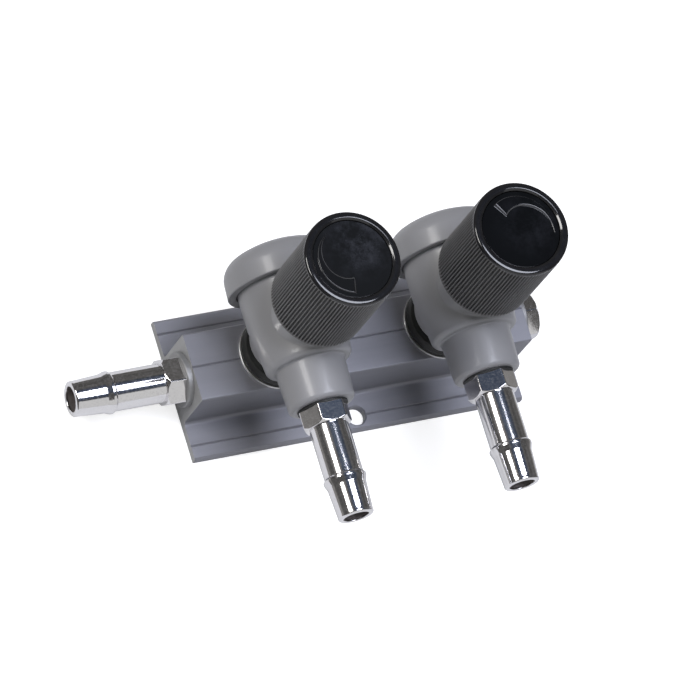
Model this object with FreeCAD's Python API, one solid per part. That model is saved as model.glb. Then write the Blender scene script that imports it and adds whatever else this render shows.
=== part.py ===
"""Two-outlet air gang valve: an extruded rail that carries two needle valves.

Millimetres. The rail lies along X on its back face, Z is up through the valves and
their knobs, and the outlets point along -Y. The origin is the middle of the back face.
"""
import FreeCAD, Part
import math
import os

Vector = FreeCAD.Vector
X_AXIS = Vector(1, 0, 0)
Y_AXIS = Vector(0, 1, 0)
Z_AXIS = Vector(0, 0, 1)
ORIGIN = Vector(0, 0, 0)

# Rail: an aluminium extrusion with a flange along each side of a raised boss.
RAIL_LENGTH = 76.2
RAIL_WIDTH = 31.75
RAIL_HEIGHT = 15.4
FLANGE_THICKNESS = 1.9
BOSS_WIDTH = 14.9
BOSS_EDGE_RADIUS = 0.35
BOSS_FOOT_RADIUS = 0.9
FLANGE_BEVEL = 0.5
MARK_WIDTH = 0.55
MARK_DEPTH = 0.3
HOLE_EDGE_DISTANCE = 3.175
HOLE_RADIUS = 2.05
HOLE_EDGE_BEVEL = 0.25
GALLERY_RADIUS = 3.0
GALLERY_DEPTH = 6.75
VALVE_PITCH = 37.9

# Clearances between pieces that screw, press or slide into each other.
THREAD_CLEARANCE = 0.05
PRESS_CLEARANCE = 0.02
SLIDE_CLEARANCE = 0.1
RING_CLEARANCE = 0.06
NEEDLE_GAP = 0.05
END_GAP = 0.3

# How near an edge must lie to a stated place to be picked for a round or bevel.
PICK_TOLERANCE = 0.02

# Hose barbs and the plug: turned from one size of hexagon bar, with the same thread.
HEX_SIDES = 6
HEX_ACROSS_FLATS = 9.5
FITTING_THREAD_RADIUS = 3.95
FITTING_THREAD_LENGTH = 7.0
BARB_HEX_LENGTH = 4.1
PLUG_HEX_LENGTH = 3.1
BARB_FACE_RADIUS = 4.85
PLUG_FACE_RADIUS = 4.8
BARB_STEM_RADIUS = 4.17
BARB_STEM_LENGTH = 11.1
BARB_RIDGE_RADIUS = 4.55
BARB_RIDGE_RAMP = 0.25
BARB_LAND_LENGTH = 0.8
BARB_NECK_RADIUS = 4.13
BARB_NECK_STEP = 1.0
BARB_NOSE_RADIUS = 3.8
BARB_NOSE_LENGTH = 9.0
BARB_NOSE_STRAIGHT = 1.0
BARB_NOSE_ROUND = 0.85
BARB_BORE_RADIUS = 2.7
PLUG_DRILL_DEPTH = 5.0
RAIL_SEAL_THICKNESS = 1.3
RAIL_SEAL_EDGE_ROUND = 0.35
RAIL_SEAL_RADIUS = 5.9
OUTLET_SEAL_THICKNESS = 0.4
OUTLET_SEAL_RADIUS = 5.4

# Where each hexagon stopped when it was tightened, degrees about the fitting's own axis.
INLET_TURN = -19.0
PLUG_TURN = 4.0
OUTLET_TURNS = {"left": 1.0, "right": 19.5}

# Washer and rubber ring between the rail and a valve.
PORT_THREAD_RADIUS = 4.8
PORT_THREAD_LENGTH = 5.0
WASHER_RADIUS = 8.3
WASHER_THICKNESS = 0.5
WASHER_EDGE_RADIUS = 0.15
RING_THICKNESS = 2.9
RING_RADIUS = 8.2
RING_BULGE = 0.55

# Valve body, moulded: barrel, outlet boss, neck, foot and threaded stub.
BARREL_GAP = 1.1
BARREL_RADIUS = 10.3
BARREL_FRONT = 9.0
BARREL_FRONT_LEDGE = 0.15
BARREL_TAPER_START = 2.0
BARREL_REAR = 10.9
SHOULDER_ROUND = 1.3
BOSS_ROOT_RADIUS = 7.45
BOSS_DRAFT = 0.3
BOSS_END = 18.15
BOSS_END_ROUND = 1.0
BOSS_ROOT_FILLET = 0.4
NECK_RADIUS = 7.85
NECK_LENGTH = 1.8
NECK_FILLET = 0.8
FOOT_HEIGHT = 2.7
FOOT_RADIUS = 6.2
INLET_WAY_RADIUS = 2.5
CHAMBER_RADIUS = 4.4
OUTLET_WAY_RADIUS = 2.7

# Valve seat and the end cap on the barrel's rear.
SEAT_RADIUS = 3.9
SEAT_DROP = 4.8
SEAT_HEIGHT = 3.0
ORIFICE_RADIUS = 1.45
CAP_SKIRT_GAP = 1.35
CAP_SKIRT_WALL = 0.7
CAP_SKIRT_DEPTH = 1.7
CAP_CORNER_INSET = 0.2
CAP_SHOULDER_RISE = 1.1
CAP_SHOULDER_BULGE = 0.65
CAP_CROWN_INSET = 2.85
CAP_CROWN_EDGE_RISE = 4.8
CAP_RISE = 6.65
CAP_EDGE_ROUND = 0.3
CAP_SPIGOT_RADIUS = 5.2
CAP_SOCKET_WALL = 0.35
CAP_SEAL_INSET = 0.75
CAP_SEAL_THICKNESS = 0.8

# Bonnet: flanged ring screwed into the neck, threaded for the stem.
BONNET_LIP = 0.55
BONNET_FLANGE = 1.0
BONNET_EDGE_ROUND = 0.4
BONNET_SPIGOT_RADIUS = 5.5
BONNET_SPIGOT_LENGTH = 7.7
BONNET_BORE_RADIUS = 3.6
BONNET_BORE_DEPTH = 5.6

# Needle stem, its ring and the screw lift.
STEM_THREAD_RADIUS = 2.45
STEM_PITCH = 0.8
STEM_TURNS = 2.0
STEM_FLAT_DEPTH = 0.5
STEM_FLAT_LENGTH = 12.0
STEM_LAND_LENGTH = 2.9
STEM_GROOVE_RADIUS = 2.2
STEM_GROOVE_LENGTH = 1.5
STEM_ROD_RADIUS = 1.8
NEEDLE_LENGTH = 3.6
NEEDLE_TIP_RADIUS = 0.9
LIFT_MARGIN = 0.5

# Knob: ribbed, hollow from below, with a hub on the stem and an inlaid top disc.
KNOB_GAP = 1.2
KNOB_HEIGHT = 23.4
KNOB_RADIUS = 10.05
KNOB_RIM_ROUND = 0.45
RIB_COUNT = 92
RIB_CREST_HEIGHT = 0.3
RIB_ROOT_HEIGHT = 0.02
RIB_TOP_MARGIN = 1.1
RIB_BOTTOM_MARGIN = 0.5
KNOB_WALL = 2.0
KNOB_CROWN = 6.0
KNOB_HUB_RADIUS = 4.3
KNOB_HUB_RECESS = 1.0
KNOB_WEBS = 6
KNOB_WEB_TURN = 30.0
KNOB_WEB_THICKNESS = 1.0
KNOB_WEB_RECESS = 4.0
KNOB_RIM_WIDTH = 0.85
DISC_THICKNESS = 1.2
DISC_RECESS = 0.55
DISC_EDGE_BEVEL = 0.25
SCREW_RADIUS = 1.5
SCREW_LENGTH = 8.0
SCREW_HEAD_RADIUS = 2.8
SCREW_HEAD_HEIGHT = 1.7
SCREW_POCKET_RADIUS = 3.2
SCREW_POCKET_DEPTH = 2.2
SCREW_SLOT_WIDTH = 0.8
SCREW_SLOT_DEPTH = 0.8

# Raised sweep on the disc: an arc and a spiral that meet in a point.
SWEEP_INSET = 1.75
SWEEP_WIDTH = 3.7
SWEEP_TIP_WIDTH = 0.15
SWEEP_ANGLE = 142.0
SWEEP_HEIGHT = 0.25
SWEEP_STEPS = 8
SWEEP_STARTS = {"left": -98.7, "right": 126.0}

# Heights that follow from the stack of pieces on the rail.
GALLERY_HEIGHT = RAIL_HEIGHT - GALLERY_DEPTH
WASHER_BOTTOM = RAIL_HEIGHT
RING_BOTTOM = WASHER_BOTTOM + WASHER_THICKNESS
FOOT_BOTTOM = RING_BOTTOM + RING_THICKNESS
STUB_BOTTOM = RAIL_HEIGHT - PORT_THREAD_LENGTH
HUB_BOTTOM = FOOT_BOTTOM + FOOT_HEIGHT
BARREL_HEIGHT = FOOT_BOTTOM + BARREL_GAP + BARREL_RADIUS
NECK_TOP = BARREL_HEIGHT + BARREL_RADIUS + NECK_LENGTH
SEAT_TOP = BARREL_HEIGHT - SEAT_DROP
SEAT_BOTTOM = SEAT_TOP - SEAT_HEIGHT
BONNET_TOP = NECK_TOP + BONNET_FLANGE
SPIGOT_BOTTOM = NECK_TOP - BONNET_SPIGOT_LENGTH
BONNET_SHOULDER = SPIGOT_BOTTOM + BONNET_BORE_DEPTH
STEM_LIFT = STEM_PITCH * STEM_TURNS
LAND_TOP = BONNET_SHOULDER - STEM_LIFT - LIFT_MARGIN
LAND_BOTTOM = LAND_TOP - STEM_LAND_LENGTH
GROOVE_MIDDLE = (LAND_TOP + LAND_BOTTOM) / 2
KNOB_BOTTOM = BONNET_TOP + KNOB_GAP
KNOB_TOP = KNOB_BOTTOM + KNOB_HEIGHT
DISC_TOP = KNOB_TOP - DISC_RECESS
DISC_BOTTOM = DISC_TOP - DISC_THICKNESS
SCREW_SEAT = DISC_BOTTOM - SCREW_POCKET_DEPTH
HUB_BORE_TOP = KNOB_TOP - KNOB_CROWN
STEM_TOP = HUB_BORE_TOP - END_GAP

# Sizes and places that follow from the piece that carries or faces them.
HOLE_SPACING = RAIL_WIDTH - 2 * HOLE_EDGE_DISTANCE
HEX_CORNER_RADIUS = HEX_ACROSS_FLATS / math.sqrt(3)
FITTING_SOCKET_DEPTH = FITTING_THREAD_LENGTH + END_GAP
BOSS_END_RADIUS = BOSS_ROOT_RADIUS - BOSS_DRAFT
FRONT_FLAT_INNER = BOSS_ROOT_RADIUS + BOSS_ROOT_FILLET
FRONT_FLAT_OUTER = FRONT_FLAT_INNER + BARREL_FRONT_LEDGE
BARREL_FRONT_RADIUS = FRONT_FLAT_OUTER + SHOULDER_ROUND
BONNET_RADIUS = NECK_RADIUS + BONNET_LIP
CAP_SEAT = BARREL_REAR + CAP_SEAL_THICKNESS
CAP_SKIRT_EDGE = BARREL_REAR - CAP_SKIRT_DEPTH
CAP_SHOULDER = CAP_SEAT + CAP_SHOULDER_RISE
CAP_CROWN_EDGE = CAP_SEAT + CAP_CROWN_EDGE_RISE
CAP_TOP = CAP_SEAT + CAP_RISE
CAP_SOCKET_END = BONNET_SPIGOT_RADIUS + THREAD_CLEARANCE + CAP_SOCKET_WALL
CAP_SPIGOT_END = CAP_SOCKET_END + END_GAP
CAP_SKIRT_INNER = BARREL_RADIUS + CAP_SKIRT_GAP
CAP_RADIUS = CAP_SKIRT_INNER + CAP_SKIRT_WALL
CAP_CORNER_RADIUS = CAP_RADIUS - CAP_CORNER_INSET
CAP_CROWN_RADIUS = CAP_RADIUS - CAP_CROWN_INSET
CAP_SEAL_RADIUS = CAP_SKIRT_INNER - CAP_SEAL_INSET
STEM_FLAT = STEM_THREAD_RADIUS - STEM_FLAT_DEPTH
RIB_CREST_RADIUS = KNOB_RADIUS + RIB_CREST_HEIGHT
RIB_ROOT_RADIUS = KNOB_RADIUS + RIB_ROOT_HEIGHT
DISC_RADIUS = KNOB_RADIUS - KNOB_RIM_WIDTH
SWEEP_OUTER_RADIUS = DISC_RADIUS - SWEEP_INSET
SWEEP_INNER_RADIUS = SWEEP_OUTER_RADIUS - SWEEP_WIDTH


def rod(radius, start, end, axis=Z_AXIS, centre=ORIGIN):
    """Round bar about an axis through centre, between two places along that axis."""
    low, high = min(start, end), max(start, end)
    return Part.makeCylinder(radius, high - low, centre + axis * low, axis)


def tube(outer, inner, start, end, axis=Z_AXIS, centre=ORIGIN):
    """Round bar with a round hole through it."""
    hole = rod(inner, start, end, axis, centre)
    return rod(outer, start, end, axis, centre).cut(hole)


def turned(profile):
    """Solid of revolution about Z from a closed list of edges in the XZ plane."""
    face = Part.Face(Part.Wire(profile))
    return face.revolve(ORIGIN, Z_AXIS, 360)


def outline(points):
    """Closed chain of straight edges through (radius, height) points."""
    corners = [Vector(radius, 0, height) for radius, height in points]
    return Part.makePolygon(corners + corners[:1]).Edges


def straight(start, end):
    """Straight edge between two (radius, height) points."""
    return Part.LineSegment(Vector(start[0], 0, start[1]), Vector(end[0], 0, end[1])).toShape()


def bowed(start, end, bulge):
    """Arc between two (radius, height) points, bulging to the right of the way it goes."""
    first, last = Vector(start[0], 0, start[1]), Vector(end[0], 0, end[1])
    chord = last - first
    right = Vector(chord.z, 0, -chord.x).normalize()
    return Part.Arc(first, (first + last) / 2 + right * bulge, last).toShape()


def quarter(start, end, side):
    """Quarter circle between two (radius, height) points, side 1 round or -1 hollow."""
    chord = math.hypot(end[0] - start[0], end[1] - start[1])
    return bowed(start, end, side * chord / 2 * math.tan(math.pi / 8))


def circle_edges(solid, radius, height):
    """Circular edges about Z of one radius at one height."""
    found = []
    for edge in solid.Edges:
        if edge.Degenerated or not isinstance(edge.Curve, Part.Circle):
            continue
        level = abs(edge.CenterOfMass.z - height) < PICK_TOLERANCE
        if level and abs(edge.Curve.Radius - radius) < PICK_TOLERANCE:
            found.append(edge)
    return found


def long_edges(solid, half_width, height):
    """Edges that run the rail's whole length at one height, one on each side."""
    found = []
    for edge in solid.Edges:
        middle = edge.CenterOfMass
        level = abs(middle.z - height) < PICK_TOLERANCE
        beside = abs(abs(middle.y) - half_width) < PICK_TOLERANCE
        if level and beside and abs(middle.x) < PICK_TOLERANCE:
            found.append(edge)
    return found


def lay_along(solid, axis, height):
    """Turn a solid made about Z so that its +Z points along axis, then lift it."""
    turn = FreeCAD.Rotation(Z_AXIS, axis)
    return solid.transformed(FreeCAD.Placement(Vector(0, 0, height), turn).toMatrix())


def mark_groove(y, top):
    """V groove along the rail, cut down from a flat top."""
    corners = [
        Vector(0, y - MARK_WIDTH / 2, top),
        Vector(0, y + MARK_WIDTH / 2, top),
        Vector(0, y, top - MARK_DEPTH),
    ]
    face = Part.Face(Part.makePolygon(corners + corners[:1]))
    return face.extrude(X_AXIS * RAIL_LENGTH).translated(X_AXIS * (-RAIL_LENGTH / 2))


def rail_blank():
    """Extrusion with bevelled flanges, a radius at the boss's foot and on its edges."""
    half_width = RAIL_WIDTH / 2
    half_boss = BOSS_WIDTH / 2
    corners = [
        (-half_width, 0),
        (half_width, 0),
        (half_width, FLANGE_THICKNESS - FLANGE_BEVEL),
        (half_width - FLANGE_BEVEL, FLANGE_THICKNESS),
        (half_boss, FLANGE_THICKNESS),
        (half_boss, RAIL_HEIGHT),
        (-half_boss, RAIL_HEIGHT),
        (-half_boss, FLANGE_THICKNESS),
        (-half_width + FLANGE_BEVEL, FLANGE_THICKNESS),
        (-half_width, FLANGE_THICKNESS - FLANGE_BEVEL),
    ]
    points = [Vector(-RAIL_LENGTH / 2, y, z) for y, z in corners]
    section = Part.Face(Part.makePolygon(points + points[:1]))
    blank = section.extrude(X_AXIS * RAIL_LENGTH)
    top_edges = long_edges(blank, half_boss, RAIL_HEIGHT)
    blank = blank.makeFillet(BOSS_EDGE_RADIUS, top_edges)
    foot_edges = long_edges(blank, half_boss, FLANGE_THICKNESS)
    return blank.makeFillet(BOSS_FOOT_RADIUS, foot_edges)


def manifold():
    """The rail, drilled: air gallery, tapped ends, valve ports and mounting holes."""
    body = rail_blank()
    half = RAIL_LENGTH / 2
    middle = Vector(0, 0, GALLERY_HEIGHT)
    socket = FITTING_THREAD_RADIUS + THREAD_CLEARANCE
    cuts = [rod(GALLERY_RADIUS, -half, half, X_AXIS, middle)]
    for side in (-1, 1):
        inner_end = side * (half - FITTING_SOCKET_DEPTH)
        cuts.append(rod(socket, inner_end, side * half, X_AXIS, middle))
        port = rod(PORT_THREAD_RADIUS + THREAD_CLEARANCE, GALLERY_HEIGHT, RAIL_HEIGHT)
        cuts.append(port.translated(X_AXIS * (side * VALVE_PITCH / 2)))
        hole_centre = Y_AXIS * (side * HOLE_SPACING / 2)
        hole = rod(HOLE_RADIUS, 0, FLANGE_THICKNESS)
        bevel = Part.makeCone(
            HOLE_RADIUS,
            HOLE_RADIUS + HOLE_EDGE_BEVEL,
            HOLE_EDGE_BEVEL,
            Z_AXIS * (FLANGE_THICKNESS - HOLE_EDGE_BEVEL),
        )
        cuts.append(hole.fuse(bevel).translated(hole_centre))
        cuts.append(mark_groove(hole_centre.y, FLANGE_THICKNESS))
    cuts.append(mark_groove(0, RAIL_HEIGHT))
    for cut in cuts:
        body = body.cut(cut)
    return body


def hex_head(length, face_radius):
    """Hexagon with the outer end turned to a cone, corner first along +X, base at Z = 0."""
    corners = []
    for step in range(HEX_SIDES):
        angle = math.radians(360 / HEX_SIDES * step)
        corner = Vector(math.cos(angle), math.sin(angle), 0) * HEX_CORNER_RADIUS
        corners.append(corner)
    prism = Part.Face(Part.makePolygon(corners + corners[:1])).extrude(Z_AXIS * length)
    slope = HEX_CORNER_RADIUS - face_radius
    envelope = turned(outline([
        (0, 0),
        (HEX_CORNER_RADIUS, 0),
        (HEX_CORNER_RADIUS, length - slope),
        (face_radius, length),
        (0, length),
    ]))
    return prism.common(envelope)


def hose_barb():
    """Fitting about Z: thread below Z = 0, then hexagon, smooth stem, ridge and nose."""
    ridge = BARB_HEX_LENGTH + BARB_STEM_LENGTH
    land_start = ridge + BARB_RIDGE_RAMP
    land_end = land_start + BARB_LAND_LENGTH
    tip = ridge + BARB_NOSE_LENGTH
    shank = turned(outline([
        (BARB_BORE_RADIUS, -FITTING_THREAD_LENGTH),
        (FITTING_THREAD_RADIUS, -FITTING_THREAD_LENGTH),
        (FITTING_THREAD_RADIUS, 0),
        (BARB_STEM_RADIUS, 0),
        (BARB_STEM_RADIUS, ridge),
        (BARB_RIDGE_RADIUS, land_start),
        (BARB_RIDGE_RADIUS, land_end),
        (BARB_NECK_RADIUS, land_end + BARB_NECK_STEP),
        (BARB_NOSE_RADIUS, tip - BARB_NOSE_STRAIGHT),
        (BARB_NOSE_RADIUS, tip),
        (BARB_BORE_RADIUS, tip),
    ]))
    rim = circle_edges(shank, BARB_NOSE_RADIUS, tip)
    shank = shank.makeFillet(BARB_NOSE_ROUND, rim)
    bore = rod(BARB_BORE_RADIUS, 0, BARB_HEX_LENGTH)
    head = hex_head(BARB_HEX_LENGTH, BARB_FACE_RADIUS).cut(bore)
    return shank.fuse(head).removeSplitter()


def closing_plug():
    """Hexagon plug about Z with its thread below Z = 0, drilled from the thread's end."""
    thread = rod(FITTING_THREAD_RADIUS, -FITTING_THREAD_LENGTH, 0)
    drill_end = PLUG_DRILL_DEPTH - FITTING_THREAD_LENGTH
    drill = rod(BARB_BORE_RADIUS, -FITTING_THREAD_LENGTH, drill_end)
    return hex_head(PLUG_HEX_LENGTH, PLUG_FACE_RADIUS).fuse(thread).cut(drill)


def flat_seal(radius, thickness):
    """Flat ring about Z that lies under a fitting's hexagon, top at Z = 0."""
    hole = FITTING_THREAD_RADIUS + THREAD_CLEARANCE
    return tube(radius, hole, -thickness, 0)


def at_rail_end(solid, side, corner_turn):
    """Place a fitting or seal made about Z at one end of the rail, axis along X."""
    corner_up = FreeCAD.Placement(ORIGIN, FreeCAD.Rotation(Z_AXIS, corner_turn))
    laid = lay_along(solid.transformed(corner_up.toMatrix()), X_AXIS * side, GALLERY_HEIGHT)
    face = side * (RAIL_LENGTH / 2 + RAIL_SEAL_THICKNESS)
    return laid.translated(X_AXIS * face)


def at_outlet(solid, corner_turn):
    """Place a fitting or seal made about Z in a valve's outlet, pointing along -Y."""
    corner_up = FreeCAD.Placement(ORIGIN, FreeCAD.Rotation(Z_AXIS, corner_turn))
    laid = lay_along(solid.transformed(corner_up.toMatrix()), -Y_AXIS, BARREL_HEIGHT)
    return laid.translated(-Y_AXIS * (BOSS_END + OUTLET_SEAL_THICKNESS))


def port_washer():
    """Thin metal washer with softened outer edges."""
    hole = PORT_THREAD_RADIUS + SLIDE_CLEARANCE
    washer = tube(WASHER_RADIUS, hole, WASHER_BOTTOM, RING_BOTTOM)
    edges = circle_edges(washer, WASHER_RADIUS, RING_BOTTOM)
    return washer.makeFillet(WASHER_EDGE_RADIUS, edges)


def port_seal():
    """Rubber ring, squeezed so that its outer wall bulges."""
    hole = PORT_THREAD_RADIUS + SLIDE_CLEARANCE
    edge = RING_RADIUS - RING_BULGE
    low_rim, high_rim = (edge, RING_BOTTOM), (edge, FOOT_BOTTOM)
    return turned([
        bowed(low_rim, high_rim, RING_BULGE),
        straight(high_rim, (hole, FOOT_BOTTOM)),
        straight((hole, FOOT_BOTTOM), (hole, RING_BOTTOM)),
        straight((hole, RING_BOTTOM), low_rim),
    ])


def barrel_and_boss():
    """Barrel and outlet boss in one turn about Z, outlet up; laid along -Y afterwards."""
    boss_side = BOSS_END - BOSS_END_ROUND
    root = BARREL_FRONT + BOSS_ROOT_FILLET
    shoulder = BARREL_FRONT - SHOULDER_ROUND
    end_face = BOSS_END_RADIUS - BOSS_END_ROUND
    barrel = turned([
        straight((0, BOSS_END), (0, -BARREL_REAR)),
        straight((0, -BARREL_REAR), (BARREL_RADIUS, -BARREL_REAR)),
        straight((BARREL_RADIUS, -BARREL_REAR), (BARREL_RADIUS, -BARREL_TAPER_START)),
        straight((BARREL_RADIUS, -BARREL_TAPER_START), (BARREL_FRONT_RADIUS, shoulder)),
        quarter((BARREL_FRONT_RADIUS, shoulder), (FRONT_FLAT_OUTER, BARREL_FRONT), 1),
        straight((FRONT_FLAT_OUTER, BARREL_FRONT), (FRONT_FLAT_INNER, BARREL_FRONT)),
        quarter((FRONT_FLAT_INNER, BARREL_FRONT), (BOSS_ROOT_RADIUS, root), -1),
        straight((BOSS_ROOT_RADIUS, root), (BOSS_END_RADIUS, boss_side)),
        quarter((BOSS_END_RADIUS, boss_side), (end_face, BOSS_END), 1),
        straight((end_face, BOSS_END), (0, BOSS_END)),
    ])
    return lay_along(barrel, -Y_AXIS, BARREL_HEIGHT)


def neck_and_foot():
    """Upright core about Z: neck above, hub and narrow foot below, threaded stub."""
    return turned(outline([
        (0, STUB_BOTTOM),
        (PORT_THREAD_RADIUS, STUB_BOTTOM),
        (PORT_THREAD_RADIUS, FOOT_BOTTOM),
        (FOOT_RADIUS, FOOT_BOTTOM),
        (NECK_RADIUS, HUB_BOTTOM),
        (NECK_RADIUS, NECK_TOP),
        (0, NECK_TOP),
    ]))


def body_passages():
    """Everything hollow in a valve body, in the order that air and pieces go in."""
    axis_centre = Vector(0, 0, BARREL_HEIGHT)
    spigot_radius = CAP_SPIGOT_RADIUS + THREAD_CLEARANCE
    socket = FITTING_THREAD_RADIUS + THREAD_CLEARANCE
    bonnet_hole = BONNET_SPIGOT_RADIUS + THREAD_CLEARANCE
    return [
        rod(INLET_WAY_RADIUS, STUB_BOTTOM, SEAT_BOTTOM),
        rod(SEAT_RADIUS + PRESS_CLEARANCE, SEAT_BOTTOM, SEAT_TOP),
        rod(CHAMBER_RADIUS, SEAT_TOP, SPIGOT_BOTTOM),
        rod(bonnet_hole, SPIGOT_BOTTOM - END_GAP, NECK_TOP),
        rod(OUTLET_WAY_RADIUS, -CAP_SOCKET_END, BOSS_END, -Y_AXIS, axis_centre),
        rod(socket, BOSS_END - FITTING_SOCKET_DEPTH, BOSS_END, -Y_AXIS, axis_centre),
        rod(spigot_radius, CAP_SOCKET_END, BARREL_REAR, Y_AXIS, axis_centre),
    ]


def neck_seam(body):
    """Edges where the neck runs into the barrel: those wholly above its axis."""
    seam = []
    for edge in body.Edges:
        low, high = edge.BoundBox.ZMin, edge.BoundBox.ZMax
        if low > BARREL_HEIGHT + NECK_FILLET and high < NECK_TOP - NECK_FILLET:
            seam.append(edge)
    return seam


def valve_body():
    """The moulded body: barrel, boss, neck and foot in one, then hollowed out."""
    solid = barrel_and_boss().fuse(neck_and_foot()).removeSplitter()
    solid = solid.makeFillet(NECK_FILLET, neck_seam(solid))
    for passage in body_passages():
        solid = solid.cut(passage)
    return solid


def valve_seat():
    """Brass orifice ring pressed in above the inlet way."""
    return tube(SEAT_RADIUS, ORIFICE_RADIUS, SEAT_BOTTOM, SEAT_TOP)


def end_cap():
    """Domed cap about Z, dome up, with a thin skirt and a threaded spigot below."""
    crown_rise = CAP_TOP - CAP_CROWN_EDGE
    crown_sphere = (CAP_CROWN_RADIUS ** 2 + crown_rise ** 2) / (2 * crown_rise)
    crown_angle = math.asin(CAP_CROWN_RADIUS / crown_sphere)
    crown_bulge = crown_sphere * (1 - math.cos(crown_angle / 2))
    shoulder = (CAP_CORNER_RADIUS, CAP_SHOULDER)
    crown_edge = (CAP_CROWN_RADIUS, CAP_CROWN_EDGE)
    cap = turned([
        straight((0, CAP_TOP), (0, CAP_SPIGOT_END)),
        straight((0, CAP_SPIGOT_END), (CAP_SPIGOT_RADIUS, CAP_SPIGOT_END)),
        straight((CAP_SPIGOT_RADIUS, CAP_SPIGOT_END), (CAP_SPIGOT_RADIUS, CAP_SEAT)),
        straight((CAP_SPIGOT_RADIUS, CAP_SEAT), (CAP_SKIRT_INNER, CAP_SEAT)),
        straight((CAP_SKIRT_INNER, CAP_SEAT), (CAP_SKIRT_INNER, CAP_SKIRT_EDGE)),
        straight((CAP_SKIRT_INNER, CAP_SKIRT_EDGE), (CAP_RADIUS, CAP_SKIRT_EDGE)),
        straight((CAP_RADIUS, CAP_SKIRT_EDGE), shoulder),
        bowed(shoulder, crown_edge, CAP_SHOULDER_BULGE),
        bowed(crown_edge, (0, CAP_TOP), crown_bulge),
    ])
    edge = circle_edges(cap, CAP_RADIUS, CAP_SKIRT_EDGE)
    cap = cap.makeFillet(CAP_EDGE_ROUND, edge)
    return lay_along(cap, Y_AXIS, BARREL_HEIGHT)


def cap_seal():
    """Gasket squeezed between the barrel's rear face and the cap."""
    hole = CAP_SPIGOT_RADIUS + SLIDE_CLEARANCE
    ring = tube(CAP_SEAL_RADIUS, hole, BARREL_REAR, CAP_SEAT)
    return lay_along(ring, Y_AXIS, BARREL_HEIGHT)


def bonnet():
    """Flanged ring: bored from below for the stem's ring, threaded above it."""
    body = rod(BONNET_SPIGOT_RADIUS, SPIGOT_BOTTOM, NECK_TOP)
    flange = rod(BONNET_RADIUS, NECK_TOP, BONNET_TOP)
    rims = circle_edges(flange, BONNET_RADIUS, BONNET_TOP)
    flange = flange.makeFillet(BONNET_EDGE_ROUND, rims)
    bore = rod(BONNET_BORE_RADIUS, SPIGOT_BOTTOM, BONNET_SHOULDER)
    thread = rod(STEM_THREAD_RADIUS + THREAD_CLEARANCE, SPIGOT_BOTTOM, BONNET_TOP)
    return body.fuse(flange).cut(bore).cut(thread)


def flat_side(radius, low, high):
    """The slice that a flat takes off a round bar on its +X side."""
    return Part.makeBox(radius, 2 * radius, high - low, Vector(STEM_FLAT, -radius, low))


def needle_stem():
    """Stem in one turn: needle, rod, grooved land, thread, then a flat for the knob."""
    land = BONNET_BORE_RADIUS - SLIDE_CLEARANCE
    groove_bottom = GROOVE_MIDDLE - STEM_GROOVE_LENGTH / 2
    groove_top = GROOVE_MIDDLE + STEM_GROOVE_LENGTH / 2
    taper = (STEM_ROD_RADIUS - NEEDLE_TIP_RADIUS) / NEEDLE_LENGTH
    touch_radius = ORIFICE_RADIUS - NEEDLE_GAP
    tip = SEAT_TOP - (touch_radius - NEEDLE_TIP_RADIUS) / taper
    base = tip + NEEDLE_LENGTH
    stem = turned(outline([
        (0, tip),
        (NEEDLE_TIP_RADIUS, tip),
        (STEM_ROD_RADIUS, base),
        (STEM_ROD_RADIUS, LAND_BOTTOM),
        (land, LAND_BOTTOM),
        (land, groove_bottom),
        (STEM_GROOVE_RADIUS, groove_bottom),
        (STEM_GROOVE_RADIUS, groove_top),
        (land, groove_top),
        (land, LAND_TOP),
        (STEM_THREAD_RADIUS, LAND_TOP),
        (STEM_THREAD_RADIUS, STEM_TOP),
        (0, STEM_TOP),
    ]))
    flat = flat_side(STEM_THREAD_RADIUS, STEM_TOP - STEM_FLAT_LENGTH, STEM_TOP)
    screw_bottom = SCREW_SEAT - SCREW_LENGTH - END_GAP
    hole = rod(SCREW_RADIUS + THREAD_CLEARANCE, screw_bottom, STEM_TOP)
    return stem.cut(flat).cut(hole)


def stem_ring():
    """Rubber O-ring that fills the stem's groove and wipes the bonnet's bore."""
    inner = STEM_GROOVE_RADIUS + RING_CLEARANCE
    outer = BONNET_BORE_RADIUS - RING_CLEARANCE
    section = (outer - inner) / 2
    return Part.makeTorus((outer + inner) / 2, section, Vector(0, 0, GROOVE_MIDDLE))


def ribbed_band():
    """Sharp straight ribs all round, as one star-shaped prism."""
    points = []
    for step in range(2 * RIB_COUNT):
        radius = RIB_ROOT_RADIUS if step % 2 else RIB_CREST_RADIUS
        angle = math.pi * step / RIB_COUNT
        points.append(Vector(radius * math.cos(angle), radius * math.sin(angle), 0))
    low = KNOB_BOTTOM + RIB_BOTTOM_MARGIN
    high = KNOB_TOP - RIB_TOP_MARGIN
    star = Part.Face(Part.makePolygon(points + points[:1]))
    return star.extrude(Z_AXIS * (high - low)).translated(Z_AXIS * low)


def knob_webs(skirt_inner):
    """Radial webs between the knob's hub and its wall, seen from below."""
    top = KNOB_TOP - KNOB_CROWN
    bottom = KNOB_BOTTOM + KNOB_WEB_RECESS
    webs = []
    for step in range(KNOB_WEBS):
        corner = Vector(0, -KNOB_WEB_THICKNESS / 2, bottom)
        web = Part.makeBox(skirt_inner, KNOB_WEB_THICKNESS, top - bottom, corner)
        web.rotate(ORIGIN, Z_AXIS, 360 / KNOB_WEBS * step + KNOB_WEB_TURN)
        webs.append(web)
    return webs


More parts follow.
